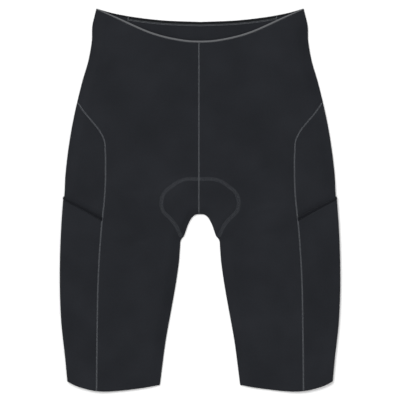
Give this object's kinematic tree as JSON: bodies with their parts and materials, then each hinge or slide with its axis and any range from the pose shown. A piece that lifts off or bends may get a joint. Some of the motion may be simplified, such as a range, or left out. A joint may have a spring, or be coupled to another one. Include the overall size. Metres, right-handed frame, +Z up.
{
  "type": "cycling shorts",
  "caption": "Knee-length cycling shorts laid out flat, with side panels, slanted side pockets and a seat pad in the crotch.",
  "frame": {"origin": "on the surface the shorts lie on, under the middle of their outline", "axes": "+Y towards the waist, +Z up from the surface to the front of the shorts, +X towards the wearer's left"},
  "size_m": [0.421, 0.5748, 0.0092],
  "materials": {
    "knit": "dense stretch knit, matt with a slight sheen",
    "binding": "narrow black elastic",
    "waist_edge": "narrow grey elastic edge",
    "tape": "woven tape",
    "seat_pad": "brushed cloth over foam"
  },
  "bodies": {
    "root": {"front_left": "knit", "front_right": "knit", "back": "knit", "side_left": "knit", "side_right": "knit", "pocket_left": "knit", "pocket_right": "knit", "pocket_binding_left": "binding", "pocket_binding_right": "binding", "waist_edge": "waist_edge", "back_waist_tape": "tape", "seat_pad": "seat_pad"}
  },
  "joints": []
}
